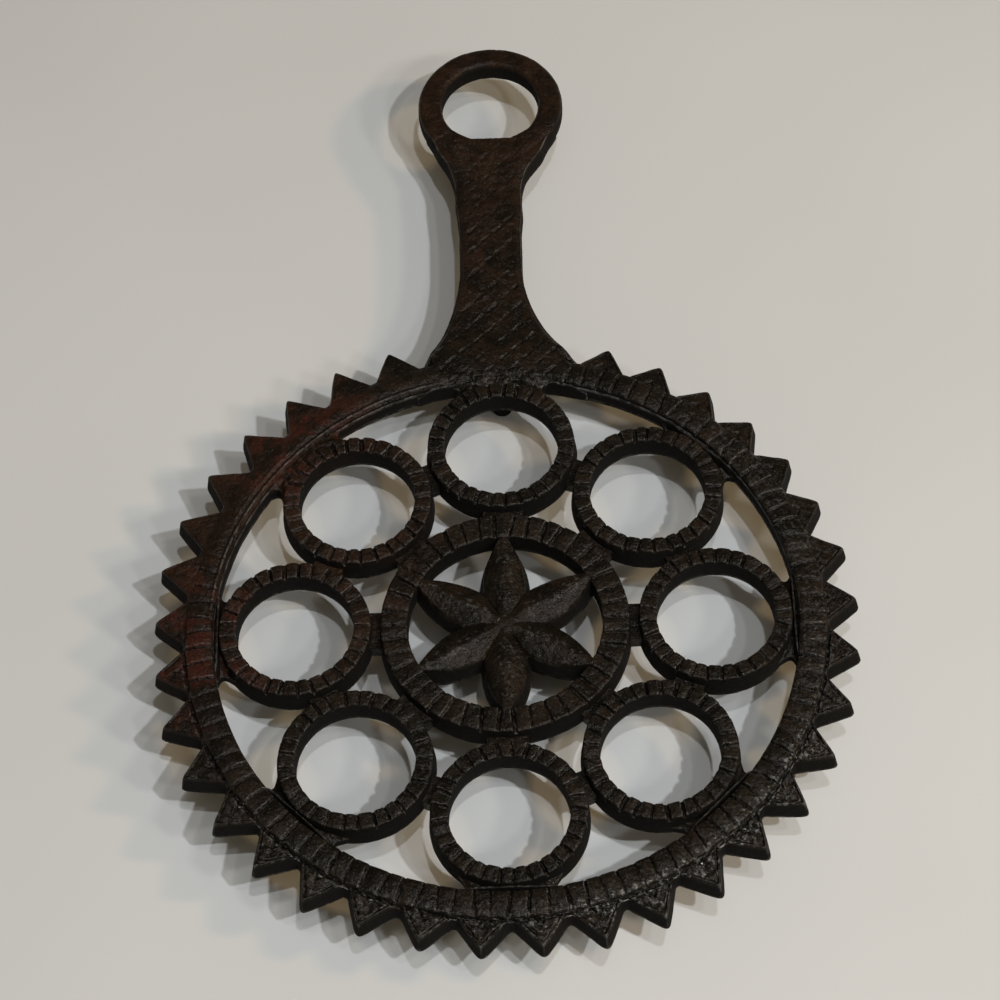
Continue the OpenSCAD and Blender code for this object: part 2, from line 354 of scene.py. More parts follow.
def set_out(bm, angle):
    """Turns what was drawn along X to its angle and moves it from the origin to the disc."""
    bmesh.ops.rotate(bm, cent=(0, 0, 0), matrix=Matrix.Rotation(angle, 3, "Z"), verts=bm.verts)
    bmesh.ops.translate(bm, vec=(DISC.x, DISC.y, 0), verts=bm.verts)


def roughen(bm, amount, seed):
    """Moves the walls in and out as sand casting leaves them."""
    bm.normal_update()
    moves = []
    for v in bm.verts:
        swell = grain(v.co, 0.16, seed) + 0.6 * grain(v.co, 0.5, seed) + 0.4 * grain(v.co, 1.5, seed)
        moves.append(v.normal * (amount * swell))
    for v, move in zip(bm.verts, moves):
        v.co += move
        # The skin stays inside the CAD's overall box
        for axis in range(3):
            v.co[axis] = min(max(v.co[axis], cad_low[axis] / MM), cad_high[axis] / MM)


def mark_edges(bm):
    """Keeps how sharply the surface turns at each point: above 0 on edges, below 0 in grooves."""
    layer = bm.verts.layers.float.new("turn")
    bm.normal_update()
    raw = {}
    for v in bm.verts:
        turns = [(v.co - e.other_vert(v).co).normalized().dot(v.normal) for e in v.link_edges]
        raw[v] = sum(turns) / max(len(turns), 1)
    for v in bm.verts:
        near = [raw[e.other_vert(v)] for e in v.link_edges]
        v[layer] = 0.6 * raw[v] + 0.4 * sum(near) / max(len(near), 1)


def wear_and_highlight_share(co):
    """How much the iron is lightened at a place, partly by wear and partly as painted highlight where the
    light falls most: most along the teeth at the lower right.
    """
    r, a = polar(co, DISC)
    degrees = degrees_of(a)
    lower_right = within(degrees, 282, 326, 22) * within(r, 62.2, 66.5, 1.6)
    lower = 0.35 * within(degrees, 230, 345, 25) * within(r, 62.4, 67.5, 1.2)
    # The band's right side and the petals' crests are lightened as painted highlight
    right = 0.2 * (within(degrees, 345, 360, 10) + within(degrees, 0, 40, 20)) * within(r, 57.5, 63, 1.5)
    root = 0.2 * within(co.x - DISC.x, -6.0, 8.5, 2.0) * within(r, 56.2, 59.6, 1.2)
    root *= within(degrees, 80, 100, 4)
    crest = 0.3 * (1 - smooth((r - 16.5) / 3)) * smooth((co.z - TOP_Z + 1.1) / 0.5)
    return max(lower_right, lower, right, root, crest)


def new_object(name, bm, material):
    """Object in the scene with that mesh and material."""
    mesh = bpy.data.meshes.new(name)
    bm.to_mesh(mesh)
    bm.free()
    mesh.materials.append(material)
    made = bpy.data.objects.new(name, mesh)
    bpy.context.scene.collection.objects.link(made)
    return made


def finish_piece(name, bm, nodes, seed, slot="seasoned_iron"):
    """Turns a mesh in millimetres into a piece that stands for the named nodes."""
    if not bm.faces:
        raise RuntimeError(f"{name} has no faces")
    roughen(bm, bpy.context.scene.trivet_sizes.skin / MM, seed)
    mark_edges(bm)
    worn_and_lit = bm.verts.layers.float.new("worn_and_lit")
    wall = bm.verts.layers.float.new("wall")
    for v in bm.verts:
        # Share of wear and of painted highlight at each point
        v[worn_and_lit] = wear_and_highlight_share(v.co)
        v[wall] = 1 - smooth((v.normal.z - 0.15) / 0.45)
    bmesh.ops.scale(bm, vec=(MM, MM, MM), verts=bm.verts)
    bmesh.ops.recalc_face_normals(bm, faces=bm.faces)
    for face in bm.faces:
        face.smooth = True
    piece = new_object(name, bm, iron(slot))
    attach(piece, "root")
    if nodes:
        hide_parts(*nodes)


class Nodes:
    """Small helper that adds and links shader nodes."""

    def __init__(self, material):
        self.tree = material.node_tree
        self.tree.nodes.clear()

    def add(self, kind, inputs=None, **settings):
        """New node with its settings and with its inputs linked or set."""
        node = self.tree.nodes.new(kind)
        for key, value in settings.items():
            setattr(node, key, value)
        for key, value in (inputs or {}).items():
            if isinstance(value, bpy.types.NodeSocket):
                self.tree.links.new(value, node.inputs[key])
            else:
                node.inputs[key].default_value = value
        return node

    def noise(self, vector, scale, detail=2.0, rough=0.5):
        """Noise with that many features in a metre."""
        return self.add("ShaderNodeTexNoise", {"Vector": vector, "Scale": scale, "Detail": detail,
                                               "Roughness": rough}).outputs["Fac"]

    def remap(self, value, low, high, to_low=0.0, to_high=1.0):
        """Value carried smoothly from one range to another."""
        return self.add("ShaderNodeMapRange", {"Value": value, "From Min": low, "From Max": high,
                                               "To Min": to_low, "To Max": to_high},
                        interpolation_type="SMOOTHSTEP").outputs["Result"]

    def math(self, operation, a, b=0.0, clamp=False):
        """Result of a sum on two values."""
        return self.add("ShaderNodeMath", {0: a, 1: b}, operation=operation, use_clamp=clamp).outputs[0]

    def attribute(self, name):
        """Value that a piece keeps at each point under that name."""
        return self.add("ShaderNodeAttribute", attribute_name=name, attribute_type="GEOMETRY").outputs["Fac"]

    def distance(self, vector, spot):
        """Distance from a spot in metres."""
        return self.add("ShaderNodeVectorMath", {0: vector, 1: spot}, operation="DISTANCE").outputs["Value"]

    def mix(self, factor, a, b):
        """Colour between two colours."""
        return self.add("ShaderNodeMix", {0: factor, 6: a, 7: b}, data_type="RGBA").outputs[2]


def solid(colour_value):
    """Colour with full alpha."""
    return (*colour_value, 1.0)


def iron(slot):
    """Seasoned cast iron: oily brown-black skin, browned patches, painted shade in the grooves and on the
    walls, and edges lightened partly by wear and partly as painted highlight.
    """
    made = bpy.data.materials.get("cast_" + slot)
    if made:
        return made
    finish = bpy.context.scene.trivet_finish
    material = bpy.data.materials.new("cast_" + slot)
    material.use_nodes = True
    n = Nodes(material)
    place = n.add("ShaderNodeTexCoord").outputs["Object"]
    turn, worn_and_lit, wall = n.attribute("turn"), n.attribute("worn_and_lit"), n.attribute("wall")
    patch = n.noise(place, 45.0, 3.0, 0.6)
    cloud = n.noise(place, 190.0, 3.0, 0.65)
    sand = n.noise(place, 2300.0, 3.0, 0.7)
    pit = n.noise(place, 620.0, 2.0, 0.55)
    # The seasoning is brown on the left of the rim and on the handle and fades to black elsewhere
    brown_spot, brown_reach, brown_core = (-0.060, -0.012, 0.016), 0.062, 0.024
    side = n.remap(n.distance(place, brown_spot), brown_reach, brown_core)
    handle_side = n.remap(n.add("ShaderNodeSeparateXYZ", {0: place}).outputs["Y"], 0.028, 0.060, 0.0, 0.85)
    browned = n.math("MAXIMUM", side, handle_side)
    spread = n.math("ADD", browned, n.remap(patch, 0.35, 0.65, -0.25, 0.20), clamp=True)
    spread = n.math("ADD", spread, n.remap(cloud, 0.35, 0.65, -0.18, 0.18), clamp=True)
    base = n.mix(spread, solid(finish.iron), solid(finish.brown))
    red_spots = (((-0.061, -0.042, 0.016), 0.026), ((-0.040, 0.005, 0.016), 0.021))
    near = [n.remap(n.distance(place, spot), reach, 0.25 * reach) for spot, reach in red_spots]
    rust = n.math("MULTIPLY", n.math("MAXIMUM", *near), n.remap(cloud, 0.42, 0.60))
    base = n.mix(n.math("MULTIPLY", rust, 0.75), base, solid(finish.rust))
    speck = n.math("MULTIPLY", n.remap(sand, 0.35, 0.68, 0.70, 1.30),
                   n.remap(cloud, 0.38, 0.62, 0.65, 1.35))
    base = n.add("ShaderNodeVectorMath", {0: base, 3: speck}, operation="SCALE").outputs["Vector"]
    # Painted shade: a dark colour fills the grooves and covers the walls, where shade falls
    groove = n.remap(turn, -0.015, -0.17)
    painted_shade = n.math("MAXIMUM", groove, n.math("MULTIPLY", wall, 0.9))
    base = n.mix(painted_shade, base, solid(finish.groove_and_wall_shade))
    # Edges are lightened in dashes, partly by wear and partly as painted highlight, and the rim's most worn
    # and most brightly lit places are lightened on their flats too
    broken = n.remap(pit, 0.40, 0.58, 0.10, 1.0)
    edge = n.math("MULTIPLY", n.remap(turn, 0.06, 0.30), broken)
    keep = n.add("ShaderNodeMath", {0: worn_and_lit, 1: 0.58, 2: 0.42}, operation="MULTIPLY_ADD").outputs[0]
    worn_and_highlit_edges = n.math("MULTIPLY", edge, keep)
    scuffs_and_highlights = n.math("MULTIPLY", worn_and_lit, n.remap(n.noise(place, 1100.0, 2.0, 0.6), 0.54, 0.64))
    scuffs_and_highlights = n.math("MULTIPLY", scuffs_and_highlights, n.remap(wall, 0.1, 0.6, 0.45, 0.0))
    worn_and_highlit_edges = n.math("MAXIMUM", worn_and_highlit_edges, scuffs_and_highlights)
    base = n.mix(n.math("MULTIPLY", worn_and_highlit_edges, 0.6), base, solid(finish.bare_metal_and_glint))
    gloss = n.remap(sand, 0.3, 0.7, finish.roughness - 0.08, finish.roughness + 0.14)
    gloss = n.math("ADD", gloss, n.math("MULTIPLY", spread, 0.10), clamp=True)
    # The walls are never wiped or rubbed and stay dull
    gloss = n.math("MAXIMUM", gloss, n.math("MULTIPLY", wall, 0.9))
    metal = n.math("MULTIPLY", worn_and_highlit_edges, 0.8)
    fine = n.add("ShaderNodeBump", {"Strength": 1.0, "Distance": 0.00018, "Height": sand}).outputs["Normal"]
    coarse = n.add("ShaderNodeBump", {"Strength": 0.9, "Distance": 0.00042, "Height": pit,
                                      "Normal": fine}).outputs["Normal"]
    shader = n.add("ShaderNodeBsdfPrincipled", {"Base Color": base, "Roughness": gloss, "Metallic": metal,
                                                "Normal": coarse, "Specular IOR Level": 0.16,
                                                "Specular Tint": (1.0, 0.90, 0.78, 1.0)})
    n.add("ShaderNodeOutputMaterial", {"Surface": shader.outputs["BSDF"]})
    return material


def jitters(count, seed):
    """Small differences from groove to groove (shift, width, depth, lean) and rib to rib (height, tilt)."""
    rng = random.Random(seed)
    ranges = ((-0.10, 0.10), (0.70, 1.45), (0.55, 1.35), (-0.16, 0.16), (-0.18, 0.0), (-0.22, 0.22))
    return [[rng.uniform(low, high) for low, high in ranges] for _ in range(count)]


def cut_ribs(bm, centre, count, mid_r, top_z, seed, share=None, narrow=1.0):
    """Cuts worn radial grooves across the top of a spun ring and leaves its blocks a little uneven."""
    sizes = bpy.context.scene.trivet_sizes
    width, depth = sizes.groove_width / MM * narrow, sizes.groove_depth / MM
    reach = RIB_FADE * depth
    pitch = math.tau / count
    ribs = jitters(count, seed)
    for v in bm.verts:
        ramp = smooth((v.co.z - top_z + reach) / reach)
        if ramp <= 0:
            continue
        r, a = polar(v.co, centre)
        step = a / pitch
        groove, rib = round(step), math.floor(step)
        shift, wide, deep, lean = ribs[groove % count][:4]
        height, tilt = ribs[rib % count][4:]
        waver = RIB_WAVER * grain(v.co, 1.3, seed)
        off = (step - groove - shift) * pitch * r + lean * (r - mid_r) + waver
        across = step - rib - 0.5
        rounding = RIB_ROUNDING * (2 * across) ** 2 - RIB_TILT * tilt * across - height
        worn = 1 + RIB_WEAR * grain(v.co, 0.45, seed + 3)
        cut = RIB_DEPTH * depth * deep * worn * notch(off, width * wide, RIB_SOFTNESS)
        drop = cut + rounding + RIB_PITTING * grain(v.co, 1.7, seed)
        fade = share(r, a) if share else 1.0
        v.co.z -= max(drop, 0.0) * ramp * fade


def reeded_ring(name, node, centre, under_r, width, ribs, seed):
    """Drafted ring with worn shoulders and a reeded top."""
    top_r = under_r - bpy.context.scene.trivet_sizes.draft / MM
    bore_r = top_r - width / MM
    edge = 0.36
    section = [(bore_r, UNDER_Z), (under_r, UNDER_Z), (under_r - 0.12, UNDER_Z + 0.5),
               (top_r + 0.10, TOP_Z - 1.0), (top_r, TOP_Z - edge), (top_r - 0.10, TOP_Z - 0.12),
               (top_r - edge, TOP_Z), (bore_r + edge, TOP_Z), (bore_r + 0.10, TOP_Z - 0.12),
               (bore_r, TOP_Z - edge), (bore_r, TOP_Z - 1.4)]
    bm = spun(section, centre, ribs * 18, TOP_Z - 1.5, 0.26, 1.1)
    cut_ribs(bm, centre, ribs, (bore_r + top_r) / 2, TOP_Z, seed)
    finish_piece(name, bm, [node], seed)


class TRIVET_OT_rings(bpy.types.Operator):
    """Eight drafted rings with reeded tops"""
    bl_idname = "trivet.rings"
    bl_label = "Rings"

    def execute(self, context):
        sizes = context.scene.trivet_sizes
        for seed, node in enumerate(RING_NODES, 1):
            reeded_ring("iron_" + node, node, middle(node), RING_R, sizes.ring_width, sizes.ring_ribs, seed)
        return {"FINISHED"}


class TRIVET_OT_hub(bpy.types.Operator):
    """Reeded ring round the star"""
    bl_idname = "trivet.hub"
    bl_label = "Hub ring"

    def execute(self, context):
        sizes = context.scene.trivet_sizes
        reeded_ring("iron_hub", "hub_ring", DISC, HUB_R, sizes.hub_width, sizes.hub_ribs, 21)
        return {"FINISHED"}


def band_share(r, a):
    """How much of the reeding is left at each place of the band: worn off at the upper left."""
    degrees = degrees_of(a)
    worn = within(degrees, 104, 158, 16)
    faint = within(degrees, 160, 205, 14)
    return (1 - 0.92 * worn) * (1 - 0.35 * faint)


def under_handle(degrees):
    """1 where the handle's root covers the rim."""
    sizes = bpy.context.scene.trivet_sizes
    half = 180 * sizes.root_pitches / sizes.pitches
    return within(degrees, 90 - half + 5.0, 90 + half - 5.0, 3.5)


def flush(degrees):
    """1 at the upper left, where the teeth lie level with the band."""
    return within(degrees, 106, 168, 16)


class TRIVET_OT_band(bpy.types.Operator):
    """Convex reeded band on the rim, worn smooth at the upper left"""
    bl_idname = "trivet.band"
    bl_label = "Reeded band"

    def execute(self, context):
        sizes = context.scene.trivet_sizes
        inner = rim_opening(sizes)
        mid = (inner + BAND_OUT_R) / 2
        foot = DECK_Z - 0.3
        section = [(inner + 0.02, foot), (BAND_OUT_R, foot), (BAND_OUT_R - 0.03, DECK_Z + 0.35),
                   (BAND_OUT_R - 0.10, TOP_Z - 0.75), (BAND_OUT_R - 0.35, TOP_Z - 0.42),
                   (mid + 1.5, TOP_Z - 0.16), (mid + 0.2, TOP_Z - 0.03), (mid - 0.8, TOP_Z),
                   (inner + 0.9, TOP_Z - 0.12), (inner + 0.35, TOP_Z - 0.3),
                   (inner + 0.10, TOP_Z - 0.6), (inner + 0.03, TOP_Z - 1.3)]
        bm = spun(section, DISC, sizes.band_ribs * 16, TOP_Z - 1.4, 0.32, 0.9)
        cut_ribs(bm, DISC, sizes.band_ribs, mid, TOP_Z - 0.2, 31, band_share, 0.72)
        self.wear(bm, inner)
        finish_piece("iron_band", bm, ["reeded_band"], 31)
        return {"FINISHED"}

    def wear(self, bm, inner):
        """Lowers the band at the upper left, leaves two thin beads there and sinks it under the handle."""
        slope, slope_width = 0.42, 3.2
        bead_height, bead_place, bead_width = 0.40, 0.7, 0.5
        second_height, second_place, second_width = 0.22, 1.9, 0.4
        sink = 1.1
        for v in bm.verts:
            if v.co.z <= DECK_Z:
                continue
            r, a = polar(v.co, DISC)
            degrees = degrees_of(a)
            high = smooth((v.co.z - DECK_Z) / (TOP_Z - DECK_Z))
            level = flush(degrees)
            bead = level * (1 - smooth(abs(r - inner - bead_place) / bead_width))
            second = within(degrees, 134, 152, 6) * (1 - smooth(abs(r - inner - second_place) / second_width))
            v.co.z -= level * high * slope * (1 - smooth((r - inner) / slope_width))
            v.co.z += (bead_height * bead + second_height * second) * high
            v.co.z -= sink * under_handle(degrees) * high


def tooth_reach(angle):
    """Where the tips end at an angle: a casting this size isn't quite round."""
    degrees = degrees_of(angle)
    longer = 1.0 * within(degrees, 122, 164, 12) + 0.8 * within(degrees, 200, 238, 12) \
        + 0.7 * within(degrees, 290, 336, 12)
    shorter = 0.9 * within(degrees, 22, 72, 12) + 0.4 * within(degrees, 252, 276, 8)
    return TIP_R + longer - shorter


def on_tooth(angle):
    """Number of the tooth at an angle, and the place across it from -0.5 to 0.5 of a pitch."""
    sizes = bpy.context.scene.trivet_sizes
    pitch = math.tau / sizes.pitches
    turns = (angle - FIRST_ANGLE) / pitch - 0.5 * (sizes.root_pitches + 1)
    local = turns % 1
    local = local if local < 0.5 else local - 1
    return round(turns - local), local


def tooth_edge(angle, inset):
    """Distance from the middle of the disc to the outline of the teeth, set in by inset."""
    sizes = bpy.context.scene.trivet_sizes
    pitch = math.tau / sizes.pitches
    root_r = tooth_root(sizes)
    hidden = sizes.root_pitches / 2
    if abs(((angle - FIRST_ANGLE) / pitch + sizes.pitches / 2) % sizes.pitches - sizes.pitches / 2) < hidden:
        return root_r - inset
    tip_r = tooth_reach(angle)
    a = abs(on_tooth(angle)[1]) * pitch
    half = pitch / 2 - sizes.valley_width / MM / root_r / 2
    low = Vector((root_r * math.cos(half), root_r * math.sin(half)))
    sharp = tip_r + TIP_SHARPENING
    along = Vector((sharp, 0)) - low
    across = Vector((-along.y, along.x)).normalized()
    if across.x < 0:
        across.negate()
    flank = (across.dot(low) - inset) / max(across.x * math.cos(a) + across.y * math.sin(a), 1e-6)
    cap = tip_r - inset
    # A soft minimum of the flank and the cap rounds the tip
    if flank > cap - TIP_BLEND:
        flank = -math.log(math.exp(-TIP_SHARPNESS * (flank - cap)) + 1) / TIP_SHARPNESS + cap
    return max(flank, root_r - inset)


class TRIVET_OT_teeth(bpy.types.Operator):
    """Toothed plate of the rim with scored chevrons on its teeth"""
    bl_idname = "trivet.teeth"
    bl_label = "Toothed rim"

    def execute(self, context):
        sizes = context.scene.trivet_sizes
        inner = rim_opening(sizes)
        start = BAND_OUT_R - 0.5
        section = [(inner, UNDER_Z), (TIP_R, UNDER_Z), (TIP_R, DECK_Z), (start, DECK_Z), (inner, DECK_Z)]
        bm = bmesh.new()
        _, wall, top, _, opening = draw_section(bm, DISC, section)
        refine(bm, [top], 0.24)
        refine(bm, [wall], 0.6)
        refine(bm, [opening], 1.7)
        full_turn(bm, DISC, sizes.pitches * 44)
        self.shape(bm, start)
        bmesh.ops.recalc_face_normals(bm, faces=bm.faces)
        finish_piece("iron_teeth", bm, ["toothed_rim"], 41)
        return {"FINISHED"}

    def shape(self, bm, start):
        """Draws the spun plate in to the outline of the teeth and scores its top."""
        # The teeth stand higher at the upper left, and elsewhere they rise a little toward the band
        high, drooping, low = TOP_Z - 0.65 - DECK_Z, 0.30, 0.30
        for v in bm.verts:
            r, a = polar(v.co, DISC)
            if r <= start + 0.01:
                continue
            share = (r - start) / (TIP_R - start)
            rise = (v.co.z - UNDER_Z) / (DECK_Z - UNDER_Z)
            edge = tooth_edge(a, TOOTH_DRAFT * rise)
            out = start + share * (edge - start)
            level = flush(degrees_of(a))
            lift = high * level * (1 - drooping * smooth((out - start) / 7))
            lift += low * (1 - level) * (1 - smooth((out - start) / 4))
            v.co.z += lift * rise
            if rise > 0.99:
                rounded = max(0.0, TOOTH_ROUNDING - (edge - out)) / TOOTH_ROUNDING
                v.co.z -= TOOTH_SHOULDER * rounded * rounded
                v.co.z -= self.score(out, a, edge)
            v.co.x = DISC.x + out * math.cos(a)
            v.co.y = DISC.y + out * math.sin(a)

    def score(self, r, a, edge):
        """Depth of the scored lines at a place on the teeth."""
        sizes = bpy.context.scene.trivet_sizes
        pitch = math.tau / sizes.pitches
        root_r = tooth_root(sizes)
        tooth, local = on_tooth(a)
        degrees = degrees_of(a)
        if abs(degrees - 90) < 180 * sizes.root_pitches / sizes.pitches:
            return 0.0
        x, y = r * math.cos(local * pitch), r * math.sin(local * pitch)
        tip = tooth_reach(a) + TIP_SHARPENING
        slope = math.atan2(root_r * pitch / 2 - sizes.valley_width / MM / 2, tip - root_r)
        from_flank = (tip - x) * math.sin(slope) - abs(y) * math.cos(slope)
        # Chevrons along both flanks, broken off in patches
        spacing = LINE_SPACING + 0.25 * noise.noise(Vector((tooth * 1.7, 0.3, 2.1)))
        waver = 0.25 * ripple(x, y, 0.7, tooth)
        line = (from_flank + waver - FIRST_LINE) / spacing
        near = abs(line - max(round(line), 0)) * spacing
        patchy = smooth(0.8 + 1.2 * ripple(x, y, 0.55, tooth * 2.3))
        lines = patchy * notch(near, LINE_WIDTH, LINE_SOFTNESS)
        panel = smooth((from_flank - PANEL_BORDER) / 0.3)
        fade = smooth((edge - r - 0.6) / 0.4)
        rough = 0.26 * ripple(x, y, 0.9, tooth + 9.0) + 0.06 * ripple(x, y, 2.0, tooth + 4.0)
        # Rough seam along the band
        meander = 0.25 * noise.noise(Vector((a * 30, 0.0, 5.0)))
        seam = notch(r - BAND_OUT_R - SEAM_PLACE - meander, SEAM_WIDTH, 0.35)
        # Both are strongest below and on the right, and faint at the upper left
        lower = within(degrees, 188, 352, 14)
        right = within(degrees, 0, 80, 12) + within(degrees, 352, 360, 8)
        bottom = within(degrees, 232, 340, 18)
        strength = min(1.0, 0.12 + (0.45 + 0.43 * bottom) * lower + 0.42 * right)
        depth = LINE_DEPTH * lines * fade + SEAM_DEPTH * seam * (0.35 + 0.65 * lower) + rough * panel * fade
        return strength * (depth + PANEL_DEPTH * panel)


class TRIVET_OT_star(bpy.types.Operator):
    """Six ridged petals and the boss they spring from"""
    bl_idname = "trivet.star"
    bl_label = "Star"

    def execute(self, context):
        sizes = context.scene.trivet_sizes
        reach = HUB_R - (sizes.draft + sizes.hub_width) / MM + PETAL_OVERLAP
        for index, node in enumerate(PETAL_NODES):
            angle = FIRST_ANGLE + index * math.tau / len(PETAL_NODES)
            self.petal(sizes, reach, angle, node, 51 + index)
        top = UNDER_Z + sizes.ridge_height / MM - BOSS_DROP
        section = [(0.0, UNDER_Z), (BOSS_R, UNDER_Z), (BOSS_R, top - 0.9), (BOSS_R - 0.35, top - 0.35),
                   (BOSS_R - 1.0, top - 0.08), (0.0, top)]
        turned_piece("iron_boss", "star_boss", DISC, section, 0.5, 61)
        return {"FINISHED"}

    def petal(self, sizes, reach, angle, node, seed):
        """One petal: a sheet shaped over its ridge, with drafted walls below."""
        near = PETAL_START
        widest = PETAL_WIDEST * reach
        bm = bmesh.new()
        bmesh.ops.create_grid(bm, x_segments=70, y_segments=32, size=1)
        ridge, fall = sizes.ridge_height / MM, sizes.petal_fall / MM
        for v in bm.verts:
            u, side = (v.co.x + 1) / 2, v.co.y
            r = near + u * (reach - near)
            # The outline runs along its neighbours near the boss and narrows past its widest place
            taper = 1 - PETAL_NARROWING * (max(r - widest, 0.0) / (reach - widest)) ** 2
            wide = sizes.petal_width / MM / 2 * PETAL_WIDTH * taper
            half = min(r * math.tan(math.pi / len(PETAL_NODES)) + 0.05, wide)
            y = side * half
            crest = ridge + 0.12 - 0.5 * (1 - smooth((r - 2.2) / 3.5))
            across = abs(y) / (sizes.petal_width / MM / 2)
            z = crest - PETAL_FALL * fall * (math.sqrt(across * across + 0.01) - 0.1)
            z -= 0.2 * smooth((abs(side) - 0.88) / 0.12)
            z += 0.08 * ripple(r, y, 1.1, seed) + 0.05 * ripple(r, y, 3, seed)
            v.co = Vector((r, y, UNDER_Z + z))
        drop_walls(bm, UNDER_Z, PETAL_DRAFT, 4)
        set_out(bm, angle)
        finish_piece("iron_" + node, bm, [node], seed)


def drop_walls(bm, floor_z, spread, rows):
    """Extrudes the rim of a sheet down to floor_z in rows, spreading by draft, and closes the underside."""
    bm.normal_update()
    rim = [e for e in bm.edges if e.is_boundary]
    outward = {}
    for edge in rim:
        face = edge.link_faces[0]
        along = (edge.verts[1].co - edge.verts[0].co).normalized()
        away = along.cross(Vector((0, 0, 1))).normalized()
        if away.dot(edge.verts[0].co - face.calc_center_median()) < 0:
            away.negate()
        for v in edge.verts:
            outward.setdefault(v, []).append(away)
    moves = {v: sum(ways, Vector()).normalized() for v, ways in outward.items()}
    start = {v: v.co.z for v in moves}
    for row in range(rows):
        made = bmesh.ops.extrude_edge_only(bm, edges=rim)
        fresh = [g for g in made["geom"] if isinstance(g, bmesh.types.BMVert)]
        rim = [g for g in made["geom"] if isinstance(g, bmesh.types.BMEdge) and g.is_boundary]
        new_moves, new_start = {}, {}
        for v in fresh:
            parent = min((e.other_vert(v) for e in v.link_edges if e.other_vert(v) in moves),
                         key=lambda p: (p.co - v.co).length)
            new_moves[v], new_start[v] = moves[parent], start[parent]
        for v in fresh:
            v.co.z = new_start[v] + (floor_z - new_start[v]) * (row + 1) / rows
            v.co += new_moves[v] * (spread / rows)
        moves, start = new_moves, new_start
    bmesh.ops.edgenet_fill(bm, edges=rim)
    bmesh.ops.recalc_face_normals(bm, faces=bm.faces)


class TRIVET_OT_webs(bpy.types.Operator):
    """Low webs between the rings and the rim, most with a thin straight fin along them"""
    bl_idname = "trivet.webs"
    bl_label = "Webs"

    def execute(self, context):
        for node in ("ring_webs", "hub_webs"):
            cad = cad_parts[node]
            cad.data.materials.clear()
            cad.data.materials.append(iron("seasoned_iron"))
        for index in range(len(RING_NODES)):
            self.rim_web(context, index + 1, FIRST_ANGLE + index * math.tau / len(RING_NODES))
        return {"FINISHED"}

    def rim_web(self, context, number, angle):
        """One web: a sheet between the ring's wall and the rim's opening, hollow at its ends."""
        sizes = context.scene.trivet_sizes
        opening = rim_opening(sizes)
        level = number <= LEVEL_WEBS
        floor_z = TOP_Z - LEVEL_WEB_DROP if level else UNDER_Z + WEB_HEIGHT
        fin = RING_CIRCLE_R + RING_R - sizes.draft / MM + FIN_GAP
        fin_z = floor_z if level else TOP_Z - FIN_DROP
        bm = bmesh.new()
        bmesh.ops.create_grid(bm, x_segments=30, y_segments=64, size=1)
        for v in bm.verts:
            share, along = (v.co.x + 1) / 2, v.co.y
            side = along * WEB_HALF_LENGTH * (1 + WEB_FLARE * (2 * share - 1) ** 2)
            near = RING_CIRCLE_R + math.sqrt((RING_R - 0.4) ** 2 - side * side)
            far = math.sqrt((opening + 0.25) ** 2 - side * side)
            out = near + share * (far - near)
            ridge = 1 - smooth((abs(out - fin) - 0.12) / 0.30)
            ends = 1 - smooth((abs(along) - 0.86) / 0.12)
            sag = 0.7 * smooth((abs(along) - 0.75) / 0.25)
            rough = 0.2 * noise.noise(Vector((side, out, number)))
            v.co = Vector((out, side, floor_z - sag + (fin_z - floor_z) * ridge * ends + rough))
        drop_walls(bm, UNDER_Z + 0.02, 0.05, 3)
        set_out(bm, angle)
        nodes = ["rim_webs"] if number == 1 else []
        finish_piece(f"iron_rim_web_{number}", bm, nodes, 70 + number)


def handle_edge(side, y):
    """Left (-1) or right (1) edge of the handle at distance y from the middle of the disc."""
    sizes = bpy.context.scene.trivet_sizes
    root_r = tooth_root(sizes)
    pitch = math.tau / sizes.pitches
    low = FIRST_ANGLE - sizes.root_pitches * pitch / 2 + sizes.valley_width / MM / root_r / 2
    root_x, root_y = root_r * math.cos(low), root_r * math.sin(low)
    waist_y, neck_y = sizes.waist_out / MM, (sizes.waist_out + sizes.waist_length) / MM
    x = side * sizes.waist_width / MM / 2 - sizes.waist_lean / MM
    eye_y = EYE.y - DISC.y
    if y < waist_y:
        dx, dy = root_x - abs(x), waist_y - root_y
        flare = (dx * dx + dy * dy) / (2 * dx)
        drop = min(waist_y - y, dy + 2.0)
        return x + side * (flare - math.sqrt(max(flare * flare - drop * drop, 0)))
    if y <= neck_y:
        return x
    a, dy = abs(x - EYE.x), eye_y - neck_y
    neck = (a * a + dy * dy - EYE_R * EYE_R) / (2 * (EYE_R - a))
    tangent = eye_y - dy * EYE_R / (neck + EYE_R)
    if y < tangent:
        # The fillets under the eye are tighter than one arc, most so on the right
        drawn = 1.35 * within(y, 108, 111, 7) if side > 0 else 0.75 * within(y, 110, 113, 6)
        spread = neck - math.sqrt(neck * neck - (y - neck_y) ** 2)
        free, least = spread - drawn, 0.12 * spread
        soft = NECK_SOFTNESS * past(y, (neck_y, 5))
        return x + side * (free + least + math.hypot(free - least, soft)) / 2
    return EYE.x + side * math.sqrt(max(EYE_R ** 2 - (y - eye_y) ** 2, 0))


